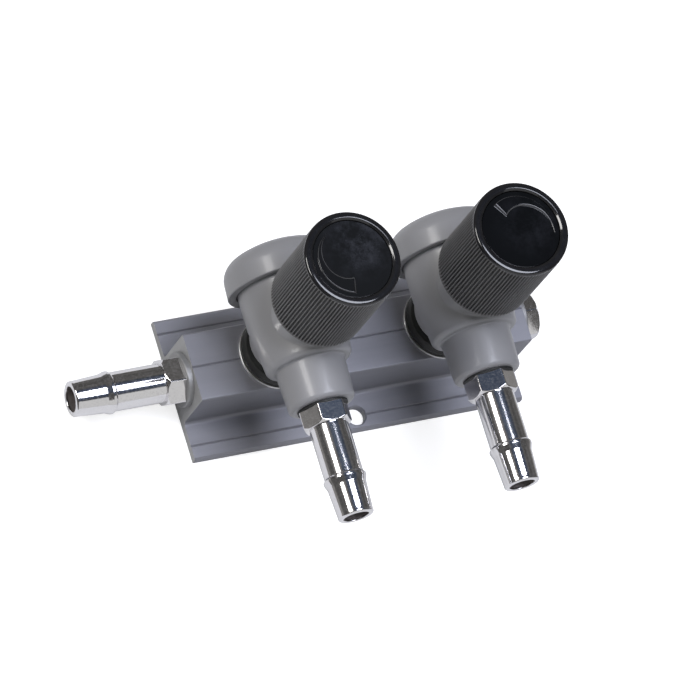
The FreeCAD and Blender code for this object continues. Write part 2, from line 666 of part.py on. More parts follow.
def knob():
    """Ribbed cup, open below, with a hub on the stem and a seat for the disc above."""
    skirt_inner = KNOB_RADIUS - KNOB_WALL
    crown_bottom = KNOB_TOP - KNOB_CROWN
    core = rod(KNOB_RADIUS, KNOB_BOTTOM, KNOB_TOP)
    core = core.makeFillet(KNOB_RIM_ROUND, circle_edges(core, KNOB_RADIUS, KNOB_TOP))
    shell = core.fuse(ribbed_band())
    shell = shell.cut(rod(skirt_inner, KNOB_BOTTOM, crown_bottom))
    hub = rod(KNOB_HUB_RADIUS, KNOB_BOTTOM + KNOB_HUB_RECESS, crown_bottom)
    for web in knob_webs(skirt_inner + PRESS_CLEARANCE):
        hub = hub.fuse(web)
    shell = shell.fuse(hub)
    bore = rod(STEM_THREAD_RADIUS + THREAD_CLEARANCE, KNOB_BOTTOM, HUB_BORE_TOP)
    flat_bottom = STEM_TOP - STEM_FLAT_LENGTH
    flat = flat_side(bore.BoundBox.XMax, flat_bottom, HUB_BORE_TOP)
    bore = bore.cut(flat.translated(X_AXIS * THREAD_CLEARANCE))
    disc_seat = rod(DISC_RADIUS + PRESS_CLEARANCE, DISC_BOTTOM, KNOB_TOP)
    pocket = rod(SCREW_POCKET_RADIUS, SCREW_SEAT, DISC_BOTTOM)
    screw_hole = rod(SCREW_RADIUS + SLIDE_CLEARANCE, HUB_BORE_TOP, SCREW_SEAT)
    for hollow in (bore, disc_seat, pocket, screw_hole):
        shell = shell.cut(hollow)
    return shell.removeSplitter()


def sweep_face(start_angle):
    """Crescent between an arc and a spiral that winds out to it, clockwise from start."""
    reach = SWEEP_OUTER_RADIUS - SWEEP_TIP_WIDTH - SWEEP_INNER_RADIUS
    outer, inner = [], []
    for step in range(SWEEP_STEPS + 1):
        share = step / SWEEP_STEPS
        angle = math.radians(start_angle - SWEEP_ANGLE * share)
        direction = Vector(math.cos(angle), math.sin(angle), 0)
        inner.append(direction * (SWEEP_INNER_RADIUS + reach * share))
        outer.append(direction * SWEEP_OUTER_RADIUS)
    arc = Part.Arc(outer[0], outer[SWEEP_STEPS // 2], outer[-1]).toShape()
    spiral = Part.BSplineCurve()
    spiral.interpolate(inner)
    tip = Part.LineSegment(outer[-1], inner[-1]).toShape()
    blunt_end = Part.LineSegment(inner[0], outer[0]).toShape()
    return Part.Face(Part.Wire([arc, tip, spiral.toShape(), blunt_end]))


def knob_cap(start_angle):
    """Inlaid disc with the raised sweep that shows which way the valve opens."""
    disc = rod(DISC_RADIUS, DISC_BOTTOM, DISC_TOP)
    rims = circle_edges(disc, DISC_RADIUS, DISC_TOP)
    disc = disc.makeChamfer(DISC_EDGE_BEVEL, rims)
    sweep = sweep_face(start_angle).extrude(Z_AXIS * SWEEP_HEIGHT)
    return disc.fuse(sweep.translated(Z_AXIS * DISC_TOP))


def knob_screw():
    """Slotted screw that holds the knob down on the stem."""
    head_top = SCREW_SEAT + SCREW_HEAD_HEIGHT
    head = rod(SCREW_HEAD_RADIUS, SCREW_SEAT, head_top)
    shank = rod(SCREW_RADIUS, SCREW_SEAT - SCREW_LENGTH, SCREW_SEAT)
    slot_corner = Vector(
        -SCREW_HEAD_RADIUS, -SCREW_SLOT_WIDTH / 2, head_top - SCREW_SLOT_DEPTH
    )
    slot = Part.makeBox(
        2 * SCREW_HEAD_RADIUS, SCREW_SLOT_WIDTH, SCREW_SLOT_DEPTH, slot_corner
    )
    return head.fuse(shank).cut(slot)


def rail_pieces():
    """The rail and what closes or feeds its two ends."""
    rail_seal = flat_seal(RAIL_SEAL_RADIUS, RAIL_SEAL_THICKNESS)
    rims = circle_edges(rail_seal, RAIL_SEAL_RADIUS, 0)
    rail_seal = rail_seal.makeFillet(RAIL_SEAL_EDGE_ROUND, rims)
    return {
        "manifold": manifold(),
        "inlet_barb": at_rail_end(hose_barb(), -1, INLET_TURN),
        "inlet_seal": at_rail_end(rail_seal, -1, 0),
        "end_plug": at_rail_end(closing_plug(), 1, PLUG_TURN),
        "end_plug_seal": at_rail_end(rail_seal, 1, 0),
    }


def valve_pieces(side):
    """All pieces of one valve, about the Z axis, named by side."""
    outlet_seal = flat_seal(OUTLET_SEAL_RADIUS, OUTLET_SEAL_THICKNESS)
    pieces = {
        "port_washer": port_washer(),
        "port_seal": port_seal(),
        "valve_body": valve_body(),
        "valve_seat": valve_seat(),
        "end_cap": end_cap(),
        "cap_seal": cap_seal(),
        "outlet_barb": at_outlet(hose_barb(), OUTLET_TURNS[side]),
        "outlet_seal": at_outlet(outlet_seal, 0),
        "bonnet": bonnet(),
        "needle_stem": needle_stem(),
        "stem_ring": stem_ring(),
        "knob": knob(),
        "knob_cap": knob_cap(SWEEP_STARTS[side]),
        "knob_screw": knob_screw(),
    }
    return {f"{name}_{side}": solid for name, solid in pieces.items()}


def build():
    """Write one STEP file for each piece."""
    os.makedirs("parts", exist_ok=True)
    pieces = rail_pieces()
    for side, place in (("left", -VALVE_PITCH / 2), ("right", VALVE_PITCH / 2)):
        for name, solid in valve_pieces(side).items():
            pieces[name] = solid.translated(X_AXIS * place)
    for name, solid in pieces.items():
        solid.exportStep(f"parts/{name}.step")


build()
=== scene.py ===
import math

import bmesh
import bpy
import numpy as np
from mathutils import Matrix, Vector


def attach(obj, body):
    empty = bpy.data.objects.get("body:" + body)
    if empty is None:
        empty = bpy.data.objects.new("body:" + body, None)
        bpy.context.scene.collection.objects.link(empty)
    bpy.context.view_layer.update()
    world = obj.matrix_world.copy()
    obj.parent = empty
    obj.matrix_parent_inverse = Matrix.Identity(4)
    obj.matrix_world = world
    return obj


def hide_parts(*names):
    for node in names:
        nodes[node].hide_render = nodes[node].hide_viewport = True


# Looks of the air gang valve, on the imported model. Sizes are in millimetres and become metres
# as each mesh is laid. The sections follow the order in which the real one is put together.

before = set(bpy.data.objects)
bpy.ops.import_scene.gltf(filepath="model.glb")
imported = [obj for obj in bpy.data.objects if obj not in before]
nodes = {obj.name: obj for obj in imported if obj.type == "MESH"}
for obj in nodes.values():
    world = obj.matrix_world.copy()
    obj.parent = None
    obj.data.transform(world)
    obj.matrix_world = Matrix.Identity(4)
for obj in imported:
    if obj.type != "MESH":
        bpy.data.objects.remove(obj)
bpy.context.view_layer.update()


# Rail. A length of extruded aluminium, saw cut at both ends, drilled, then bead blasted and
# anodised a cool grey. The die leaves faint lines along it that the blasting softens.

class Wire:
    """One output of a node. Arithmetic on it, with numbers or other wires, adds Math nodes."""

    def __init__(self, finish, socket):
        self.finish = finish
        self.socket = socket

    def __add__(self, other):
        return self.finish.maths("ADD", self, other)

    def __radd__(self, other):
        return self.finish.maths("ADD", other, self)

    def __sub__(self, other):
        return self.finish.maths("SUBTRACT", self, other)

    def __rsub__(self, other):
        return self.finish.maths("SUBTRACT", other, self)

    def __mul__(self, other):
        return self.finish.maths("MULTIPLY", self, other)

    def __rmul__(self, other):
        return self.finish.maths("MULTIPLY", other, self)


class Finish:
    """A surface finish as a node material. Every node but the Math ones comes from node()."""

    def __init__(self, name, tree=None):
        if tree is None:
            self.material = bpy.data.materials.new(name)
            self.material.use_nodes = True
            tree = self.material.node_tree
        self.tree = tree
        self.tree.nodes.clear()

    def node(self, kind, settings=None, sockets=None, output=0):
        """Add a node: its settings first, a ramp's stops among them, then its sockets."""
        made = self.tree.nodes.new(kind)
        for name, value in (settings or {}).items():
            if name == "stops":
                ramp = made.color_ramp
                while len(ramp.elements) < len(value):
                    ramp.elements.new(0.5)
                for element, (place, level) in zip(ramp.elements, value):
                    element.position = place
                    element.color = (level, level, level, 1)
            else:
                setattr(made, name, value)
        for name, value in (sockets or {}).items():
            socket = made.inputs[name]
            if isinstance(value, Wire):
                self.tree.links.new(value.socket, socket)
            elif socket.type == "RGBA":
                socket.default_value = (*value, 1)
            else:
                socket.default_value = value
        return Wire(self, made.outputs[output]) if made.outputs else None

    def maths(self, operation, first, second=0.0):
        return self.node("ShaderNodeMath", {"operation": operation}, {0: first, 1: second})

    def position(self, stretch=(1, 1, 1)):
        """Object coordinates, stretched by so much along each axis."""
        place = self.node("ShaderNodeTexCoord", output="Object")
        return self.node("ShaderNodeMapping", None, {"Vector": place, "Scale": stretch})

    def noise(self, scale, detail=2.0, stretch=(1, 1, 1), roughness=0.5):
        """Cloudy noise from 0 to 1 with so many lumps to the metre."""
        return self.node("ShaderNodeTexNoise", None, {
            "Vector": self.position(stretch), "Scale": scale, "Detail": detail,
            "Roughness": roughness})

    def shades(self, share, dark, light):
        """Colour between two, by a wire from 0 to 1."""
        return self.node("ShaderNodeMix", {"data_type": "RGBA"},
                         {0: share, 6: dark, 7: light}, output=2)

    def relief(self, height, depth, strength=1.0):
        """Normal of a surface raised by height times depth, in metres."""
        return self.node("ShaderNodeBump", None,
                         {"Strength": strength, "Distance": depth, "Height": height})

    def coat(self, sockets):
        """Finish with the standard surface and these of its sockets."""
        surface = self.node("ShaderNodeBsdfPrincipled", None, sockets, output="BSDF")
        self.node("ShaderNodeOutputMaterial", None, {"Surface": surface})
        return self.material


def anodised_rail():
    """Satin metal: long die lines along X, fine blasted grain and slow drifts of shade."""
    finish = Finish("anodised_rail")
    lines = finish.noise(900, 3, (0.02, 1, 1))
    grain = finish.noise(5200, 2)
    drift = finish.noise(45, 2)
    share = lines * 0.45 + drift * 0.4 + grain * 0.15
    return finish.coat({
        "Base Color": finish.shades(share, (0.198, 0.2, 0.225), (0.265, 0.268, 0.298)),
        "Metallic": 0.34,
        "Roughness": 0.34 + grain * 0.12 + lines * 0.06,
        "Normal": finish.relief(grain * 0.6 + lines * 0.4, 0.00004, 0.5),
    })


CREASE = math.radians(32)
WELD = 1e-7


def smooth_copy(node):
    """Copy of a CAD node with its triangles joined, shaded smooth up to the crease angle."""
    name = node + "_made"
    mesh = nodes[node].data.copy()
    mesh.name = name
    shape = bmesh.new()
    shape.from_mesh(mesh)
    bmesh.ops.remove_doubles(shape, verts=shape.verts, dist=WELD)
    for edge in shape.edges:
        edge.smooth = edge.is_manifold and edge.calc_face_angle() < CREASE
    for face in shape.faces:
        face.smooth = True
    shape.to_mesh(mesh)
    shape.free()
    if "custom_normal" in mesh.attributes:
        mesh.attributes.remove(mesh.attributes["custom_normal"])
    copy = bpy.data.objects.new(name, mesh)
    bpy.context.scene.collection.objects.link(copy)
    return copy


def fit_copy(node, body, material):
    """Stand a smooth copy in for a CAD node, in a finish."""
    copy = smooth_copy(node)
    copy.data.materials.clear()
    copy.data.materials.append(material)
    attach(copy, body)
    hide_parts(node)
    return copy


def milled_end():
    """The same metal, milled flat across the ends: lighter, neutral, with fine cutter marks."""
    finish = Finish("milled_end")
    cuts = finish.noise(1500, 3, (1, 0.05, 1))
    drift = finish.noise(120, 2)
    return finish.coat({
        "Base Color": finish.shades(cuts * 0.5 + drift * 0.5, (0.3, 0.3, 0.302), (0.4, 0.4, 0.4)),
        "Metallic": 0.3,
        "Roughness": 0.42 + cuts * 0.12,
        "Normal": finish.relief(cuts, 0.00003, 0.5),
    })


rail = fit_copy("manifold", "gang", anodised_rail())
rail.data.materials.append(milled_end())
facing = np.empty(len(rail.data.polygons) * 3)
rail.data.polygons.foreach_get("normal", facing)
SQUARE_TO_X = 0.9
ends = abs(facing[0::3]) > SQUARE_TO_X
rail.data.polygons.foreach_set("material_index", ends.astype(int))


# Inlet barb. Brass turned from hexagon bar, polished and chromed: hexagon with its corners
# turned off, smooth stem, one sharp ridge, tapered nose with a rolled end and a plain bore.

MM = 0.001
ARC_SHARE, ARC_GUARD = 0.45, 0.03
NEARLY_STRAIGHT = math.radians(89.5)


def rounded(corners, bend=0.12, steps=5):
    """Profile through corners given as (radius, height) or (radius, height, bend). Each corner is
    replaced by a circular arc of its bend that touches both of its sides, with one more point
    just outside each end of the arc so that the sides stay straight when shaded. An arc takes
    no more than a share of either side."""
    path = []
    for before, corner, after in zip(corners, corners[1:], corners[2:]):
        a, b, c = (np.array(p[:2], float) for p in (before, corner, after))
        radius = corner[2] if len(corner) > 2 else bend
        back, ahead = np.linalg.norm(a - b), np.linalg.norm(c - b)
        into, out = (a - b) / back, (c - b) / ahead
        half = math.acos(np.clip(into @ out, -1, 1)) / 2
        reach = min(radius / math.tan(half), ARC_SHARE * back, ARC_SHARE * ahead)
        radius = reach * math.tan(half)
        if radius < 1e-6 or half > NEARLY_STRAIGHT:
            path.append(b[None])
            continue
        middle = b + (into + out) / np.linalg.norm(into + out) * radius / math.sin(half)
        start, end = b + into * reach - middle, b + out * reach - middle
        sweep = math.atan2(start[0] * end[1] - start[1] * end[0], start @ end)
        turn = np.linspace(0, sweep, steps + 1)[:, None]
        arc = start * np.cos(turn) + np.array([-start[1], start[0]]) * np.sin(turn) + middle
        path += [arc[:1] + into * ARC_GUARD, arc, arc[-1:] + out * ARC_GUARD]
    first, last = np.array([corners[0][:2]], float), np.array([corners[-1][:2]], float)
    return np.concatenate([first, *path, last])


def turned(profile, columns):
    """Grid of a turned shape: the profile's radius laid out at each angle, its height as Z."""
    angle = np.linspace(0, 2 * np.pi, columns, endpoint=False)
    radius, height = profile[:, :1], profile[:, 1:]
    return np.stack([radius * np.cos(angle), radius * np.sin(angle), height + 0 * angle], -1)


HEX_ACROSS, HEX_SHARPNESS, HEX_COLUMNS = 9.5, 70, 24
HEX_LOW_BREAK, HEX_HIGH_BREAK = 0.06, 0.05


def hexagon(height, face, turn, inner):
    """Grid of a hexagon nut head about Z: at each angle the radius is the half width over the
    greatest cosine to any flat's middle, rounded by summing high powers of the cosines, and
    the cone turned on its outer end, down to the face's radius, limits it. Columns crowd
    towards the corners and rows towards the cone. Both ends run in to the inner radii."""
    within = np.linspace(-1, 1, HEX_COLUMNS + 1)[:-1]
    spread = np.sin(within * np.pi / 2) * np.pi / 6
    angle = (np.arange(6)[:, None] * np.pi / 3 + spread).ravel()
    facing = np.cos(angle[:, None] - np.arange(6) * np.pi / 3).clip(0)
    flat = HEX_ACROSS / 2 / (facing ** HEX_SHARPNESS).sum(1) ** (1 / HEX_SHARPNESS)
    level = np.concatenate([[0, 0, 0.02, 0.08], np.linspace(0.2, height - 0.75, 6),
                            np.linspace(height - 0.7, height, 22), [height]])
    cone = face + (height - level)
    body = np.minimum(flat[None], cone[:, None])
    body[0], body[-1] = inner
    body[1] -= HEX_LOW_BREAK
    body[-2] -= HEX_HIGH_BREAK
    spin = angle + math.radians(turn) + np.pi / 6
    return np.stack([body * np.cos(spin), body * np.sin(spin), level[:, None] + 0 * spin], -1)


def laid(grid, seat, along, corner):
    """Grid made about Z, moved so that its Z lies along one direction and its X along another."""
    e3, e1 = np.array(along, float), np.array(corner, float)
    return grid @ np.array([e1, np.cross(e3, e1), e3]) + np.array(seat)


def build(name, grids, finishes):
    """Mesh object from grids in millimetres, each a ring of columns by rows, with the finish
    it takes. Neighbouring points make quads; rows that meet in a point are merged there."""
    points, quads, finish = [], [], []
    first = 0
    for grid, index in grids:
        rows, columns = grid.shape[:2]
        number = first + np.arange(rows * columns).reshape(rows, columns)
        beside = np.roll(number, -1, axis=1)
        quad = np.stack([number[:-1], beside[:-1], beside[1:], number[1:]], -1).reshape(-1, 4)
        points.append(grid.reshape(-1, 3))
        quads.append(quad)
        finish.append(np.full(len(quad), index))
        first += rows * columns
    mesh = bpy.data.meshes.new(name)
    mesh.from_pydata((np.concatenate(points) * MM).tolist(), [], np.concatenate(quads).tolist())
    mesh.polygons.foreach_set("material_index", np.concatenate(finish))
    shape = bmesh.new()
    shape.from_mesh(mesh)
    bmesh.ops.remove_doubles(shape, verts=shape.verts, dist=2 * WELD)
    bmesh.ops.recalc_face_normals(shape, faces=shape.faces)
    shape.to_mesh(mesh)
    shape.free()
    mesh.shade_smooth()
    for material in finishes:
        mesh.materials.append(material)
    made = bpy.data.objects.new(name, mesh)
    bpy.context.scene.collection.objects.link(made)
    return made


def chrome(name, speckle, dull):
    """Bright plating: faint polishing ripple, and fine specks where the plating is thin, rougher
    on the turned stem and duller on the milled flats."""
    finish = Finish(name)
    waves = finish.noise(160, 2)
    spots = finish.noise(2600, 3, roughness=0.75)
    specks = finish.node("ShaderNodeMath", {"operation": "MULTIPLY_ADD", "use_clamp": True}, {
        0: spots, 1: 6.0, 2: -3.0})
    return finish.coat({
        "Base Color": finish.shades(spots * 2.4 - 0.7, (0.7, 0.69, 0.7), (0.86, 0.85, 0.85)),
        "Metallic": 1.0 - specks * dull,
        "Roughness": 0.035 + spots * speckle,
        "Normal": finish.relief(waves * 0.4 + spots * speckle, 0.00006, 0.6),
    })


def reamed_bore():
    """Inside of the bore: bare, dull and brownish, where little plating reaches."""
    finish = Finish("reamed_bore")
    stain = finish.noise(700, 4, roughness=0.7)
    return finish.coat({
        "Base Color": finish.shades(stain, (0.1, 0.085, 0.078), (0.34, 0.31, 0.3)),
        "Metallic": 0.5,
        "Roughness": 0.4 + stain * 0.2,
    })


stem_chrome = chrome("stem_chrome", 0.1, 0.1)
flat_chrome = chrome("flat_chrome", 0.05, 0.15)
bare_bore = reamed_bore()

BARB_HEX_HEIGHT, BARB_HEX_FACE, BARB_HEX_INNER = 4.1, 4.85, (3.9, 4.0)
BARB_PROFILE = [
    (4.17, 4.0), (4.17, 15.2, 0.1), (4.55, 15.6, 0.08), (4.55, 16.1, 0.25),
    (4.13, 17.3, 0.4), (3.8, 23.2, 0.3), (3.8, 24.2, 0.85), (2.7, 24.2, 0.2), (2.7, 23.7),
]
BORE_PROFILE = [(2.7, 23.7), (2.7, 10.0), (2.7, -7.0)]
STEM_COLUMNS = 96
GALLERY_HEIGHT, END_WASHER_FACE = 8.65, 39.4


def barb(node, seat, along, corner, turn):
    """Hexagon, and the stem's profile turned from the hexagon's face round into the bore, laid
    on a seat; the hexagon is turned by so many degrees, as it stopped when it was tightened."""
    grids = [
        (hexagon(BARB_HEX_HEIGHT, BARB_HEX_FACE, turn, BARB_HEX_INNER), 1),
        (turned(rounded(BARB_PROFILE), STEM_COLUMNS), 0),
        (turned(rounded(BORE_PROFILE), STEM_COLUMNS), 2),
    ]
    grids = [(laid(grid, seat, along, corner), index) for grid, index in grids]
    made = build(node + "_made", grids, [stem_chrome, flat_chrome, bare_bore])
    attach(made, "gang")
    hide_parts(node)


barb("inlet_barb", (-END_WASHER_FACE, 0, GALLERY_HEIGHT), (-1, 0, 0), (0, 0, 1), -19.0)


# End plug. Turned from the same bar as the barb and plated like it, with a short hexagon and no
# way through. It is screwed into the rail's other end against its washer.

PLUG_HEIGHT, PLUG_FACE, PLUG_INNER, PLUG_TURN = 3.1, 4.8, (3.9, 0.0), 4.0

plug_head = laid(hexagon(PLUG_HEIGHT, PLUG_FACE, PLUG_TURN, PLUG_INNER),
                 (END_WASHER_FACE, 0, GALLERY_HEIGHT), (1, 0, 0), (0, 0, -1))
plug = build("end_plug_made", [(plug_head, 0)], [flat_chrome])
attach(plug, "gang")
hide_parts("end_plug")


# Rubber rings. Moulded nitrile: the thick one under each valve, the thin one behind each
# outlet's hexagon, the cap gasket and the stem's ring. All are dull black with a trace of talc.

def rubber():
    """Near-black, dull, with fine grain and a grey bloom in patches."""
    finish = Finish("ring_rubber")
    grain = finish.noise(3800, 3)
    bloom = finish.node("ShaderNodeValToRGB", {"stops": [(0.5, 0.0), (0.75, 1.0)]},
                        {"Fac": finish.noise(260, 3)})
    return finish.coat({
        "Base Color": finish.shades(bloom, (0.009, 0.0098, 0.0094), (0.02, 0.021, 0.02)),
        "Roughness": 0.5 + grain * 0.2,
        "Normal": finish.relief(grain, 0.00003, 0.5),
    })


ring_rubber = rubber()
for side in ("left", "right"):
    for node in ("port_seal_", "cap_seal_", "outlet_seal_"):
        fit_copy(node + side, "gang", ring_rubber)
    fit_copy("stem_ring_" + side, "ring_" + side, ring_rubber)


# Metal washers. Plated and tumbled: a thin one between the rail and each rubber ring, and a
# thick one, turned with a rounded edge, behind the inlet's and the plug's hexagons.

def washer_steel():
    """Bright metal with the faint rings left by facing it."""
    finish = Finish("washer_steel")
    wear = finish.noise(1500, 3)
    return finish.coat({
        "Base Color": finish.shades(wear, (0.62, 0.62, 0.62), (0.78, 0.78, 0.77)),
        "Metallic": 1.0,
        "Roughness": 0.28 + wear * 0.1,
        "Normal": finish.relief(wear, 0.00001, 0.4),
    })


def turned_washer():
    """Grey metal left satin by tumbling."""
    finish = Finish("turned_washer")
    wear = finish.noise(1100, 3)
    return finish.coat({
        "Base Color": finish.shades(wear, (0.25, 0.25, 0.25), (0.34, 0.34, 0.34)),
        "Metallic": 0.6,
        "Roughness": 0.4 + wear * 0.14,
        "Normal": finish.relief(wear, 0.00002, 0.5),
    })


bright_steel = washer_steel()
for side in ("left", "right"):
    fit_copy("port_washer_" + side, "gang", bright_steel)
satin_steel = turned_washer()
for node in ("inlet_seal", "end_plug_seal"):
    fit_copy(node, "gang", satin_steel)


# Valve bodies, end caps and bonnets. Injection moulded acetal in one grey, half gloss, with
# the slight orange peel of a polished mould.

def moulded_grey():
    """Half-gloss grey: slow flow marks in the colour, fine peel in the surface."""
    finish = Finish("moulded_grey")
    flow = finish.noise(38, 3, (1, 1, 0.6))
    peel = finish.noise(700, 2)
    grain = finish.noise(4200, 2)
    return finish.coat({
        "Base Color": finish.shades(flow, (0.232, 0.232, 0.24), (0.268, 0.268, 0.277)),
        "Roughness": 0.42 + peel * 0.06 + grain * 0.04,
        "IOR": 1.5,
        "Coat Weight": 0.25 + peel * 0.15,
        "Coat Roughness": 0.17,
        "Normal": finish.relief(peel * 0.8 + grain * 0.2, 0.00002, 0.4),
    })


grey = moulded_grey()
for side in ("left", "right"):
    for node in ("valve_body_", "bonnet_"):
        fit_copy(node + side, "gang", grey)

VALVES = {"left": -18.95, "right": 18.95}
BARREL_HEIGHT = 30.2
CAP_SHOULDER, CAP_CROWN_EDGE, CAP_TOP = (12.15, 12.8), (9.5, 16.5), 18.35
CAP_SHOULDER_BULGE = 0.65
CAP_PROFILE = [
    (0, 6.2), (5.2, 6.2, 0.2), (5.2, 11.7, 0.1), (11.65, 11.7, 0.2), (11.65, 10.6, 0.2),
    (10.52, 10.6, 0.1), (10.52, 9.2, 0.15), (12.35, 9.2, 0.3), CAP_SHOULDER,
]
CAP_COLUMNS = 160


def bowed(start, end, bulge, steps):
    """Circular arc from one point to another that stands out by so much at its middle: its
    radius follows from half the chord and the bulge."""
    a, b = np.array(start, float), np.array(end, float)
    half = np.linalg.norm(b - a) / 2
    radius = (half ** 2 + bulge ** 2) / (2 * bulge)
    along = (b - a) / (2 * half)
    out = np.array([along[1], -along[0]])
    middle = (a + b) / 2 - out * (radius - bulge)
    reach = math.asin(half / radius)
    turn = np.linspace(-reach, reach, steps + 1)[:, None]
    return middle + radius * (np.cos(turn) * out + np.sin(turn) * along)


def cap_grid():
    """Cap turned about its axis: spigot, closed skirt, bowed shoulder, and a crown that is part
    of a sphere, so that it is level at the middle."""
    width, rise = CAP_CROWN_EDGE[0], CAP_TOP - CAP_CROWN_EDGE[1]
    sphere = (width ** 2 + rise ** 2) / (2 * rise)
    crown_bulge = sphere * (1 - math.cos(math.asin(width / sphere) / 2))
    shoulder = bowed(CAP_SHOULDER, CAP_CROWN_EDGE, CAP_SHOULDER_BULGE, 14)
    crown = bowed(CAP_CROWN_EDGE, (0, CAP_TOP), crown_bulge, 20)
    return turned(np.concatenate([rounded(CAP_PROFILE), shoulder[1:], crown[1:]]), CAP_COLUMNS)


for side, place in VALVES.items():
    cap_shape = laid(cap_grid(), (place, 0, BARREL_HEIGHT), (0, 1, 0), (1, 0, 0))
    cap = build("end_cap_made_" + side, [(cap_shape, 0)], [grey])
    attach(cap, "gang")
    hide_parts("end_cap_" + side)


# Valve seats. Brass rings, turned and bored, pressed into the bodies above the inlet way. The
# needle closes the bore. They are out of sight inside the bodies.

def turned_brass():
    """Yellow metal with fine tool marks round Z."""
    finish = Finish("turned_brass")
    marks = finish.noise(1800, 2, (0.3, 0.3, 3))
    return finish.coat({
        "Base Color": finish.shades(marks, (0.62, 0.42, 0.14), (0.8, 0.58, 0.24)),
        "Metallic": 1.0,
        "Roughness": 0.2 + marks * 0.15,
    })


seat_brass = turned_brass()
for side in ("left", "right"):
    fit_copy("valve_seat_" + side, "gang", seat_brass)


# Outlet barbs. The inlet's fitting again, of plated brass, screwed into each valve's outlet
# against a thin ring. Each hexagon came to rest at an angle of its own.

OUTLET_RING_FACE = 18.55
OUTLET_TURNS = {"left": 1.0, "right": 19.5}

for side, turn in OUTLET_TURNS.items():
    seat = (VALVES[side], -OUTLET_RING_FACE, BARREL_HEIGHT)
    barb("outlet_barb_" + side, seat, (0, -1, 0), (1, 0, 0), turn)


# Needle stems and knob screws. Stainless steel, turned. The stem is screwed through the bonnet,
# and the screw under the disc holds the knob on it. The stem shows below a raised knob.

def turned_steel():
    """Grey metal with fine tool marks round Z."""
    finish = Finish("turned_steel")
    marks = finish.noise(1600, 2, (0.3, 0.3, 4))
    return finish.coat({
        "Base Color": finish.shades(marks, (0.42, 0.42, 0.43), (0.6, 0.6, 0.6)),
        "Metallic": 1.0,
        "Roughness": 0.22 + marks * 0.15,
        "Normal": finish.relief(marks, 0.00003, 0.4),
    })


stem_steel = turned_steel()
for side in ("left", "right"):
    for node in ("needle_stem_", "knob_screw_"):
        fit_copy(node + side, "spindle_" + side, stem_steel)


# Knobs. Black moulded plastic with fine straight ribs all round, a plain rounded rim and a
# recess for the cap; hollow below, with a hub that fits the stem and six webs.

KNOB_LOW, KNOB_TOP = 44.5, 67.9
RIB_SECTION = np.array([0.0, 0.12, 0.5, 0.88, 1.0, 0.88, 0.5, 0.12])
RIBS, RIB_CREST, RIB_ROOT = 92, 10.35, 9.88
RIB_START, RIB_END, RIB_FADE = KNOB_LOW + 0.55, KNOB_TOP - 1.0, 0.3
KNOB_WALL, RIM_INNER, RIM_DROP, RIM_POWER = 10.3, 9.25, 0.85, 0.74
KNOB_OUTSIDE = [(8.05, 50.0), (8.05, KNOB_LOW, 0.2), (KNOB_WALL, KNOB_LOW, 0.3),
                (KNOB_WALL, 46.0)]
DISC_SEAT = 66.15
KNOB_RECESS = [
    (RIM_INNER, KNOB_TOP), (8.95, KNOB_TOP, 0.85), (8.5, KNOB_TOP - 0.36, 0.12),
    (8.45, DISC_SEAT, 0.05), (3.2, DISC_SEAT),
]
KNOB_HOLLOW = [
    (8.45, DISC_SEAT), (3.2, DISC_SEAT, 0.1), (3.2, 63.95, 0.1), (1.6, 63.95, 0.1),
    (1.6, 61.9, 0.1), (2.5, 61.9, 0.1), (2.5, 45.5, 0.2), (4.3, 45.5, 0.3), (4.3, 61.9, 0.5),
    (8.05, 61.9, 0.5), (8.05, 50.0),
]
RIM_STEPS, POLISHED_ROWS = 18, 8
FADE_ROWS, WALL_ROWS, WALL_ENDS = np.array([0.1, 0.3, 0.45, 0.6]), 6, (2.0, 2.5)


def knob_grids():
    """The profile turned, with its rim a quarter of a squarish oval and its outer wall cut in by
    a wave round the axis that fades to nothing near the foot and below the rim. Split in three,
    because the rim and its inner edge are polished."""
    outside = rounded(KNOB_OUTSIDE)[:-1]
    bend = np.linspace(0, np.pi / 2, RIM_STEPS + 1)
    rim = np.stack([RIM_INNER + (KNOB_WALL - RIM_INNER) * np.cos(bend) ** RIM_POWER,
                    KNOB_TOP - RIM_DROP + RIM_DROP * np.sin(bend) ** RIM_POWER], 1)
    wall = np.linspace(KNOB_LOW + WALL_ENDS[0], KNOB_TOP - WALL_ENDS[1], WALL_ROWS + 2)[1:-1]
    levels = np.concatenate([RIB_START + FADE_ROWS, wall, (RIB_END - 0.1 - FADE_ROWS)[::-1]])
    middle = np.stack([np.full(len(levels), KNOB_WALL), levels], 1)
    recess, hollow = rounded(KNOB_RECESS)[1:-1], rounded(KNOB_HOLLOW, steps=2)[1:]
    profile = np.concatenate([outside, middle, rim, recess, hollow])
    columns = RIBS * len(RIB_SECTION)
    grid = turned(profile, columns)
    wave = np.tile(RIB_SECTION, RIBS)
    radius, height = profile.T
    rise = ((height - RIB_START) / RIB_FADE).clip(0, 1) * ((RIB_END - height) / RIB_FADE).clip(0, 1)
    rise *= radius > KNOB_WALL - 0.05
    reach = rise[:, None] * ((RIB_ROOT - KNOB_WALL) + (RIB_CREST - RIB_ROOT) * wave)
    grid[..., :2] *= (1 + reach / radius[:, None])[..., None]
    start = len(outside) + len(middle)
    end = start + len(rim) + POLISHED_ROWS
    return [(grid[:start + 1], 0), (grid[start:end + 1], 1), (grid[end:], 0)]


WEBS, WEB_MIDDLE, WEB_HALF_HEIGHT, WEB_HALF_WIDTH = 6, 55.2, 6.7, 0.5
WEB_INNER, WEB_OUTER = 3.9, 8.4


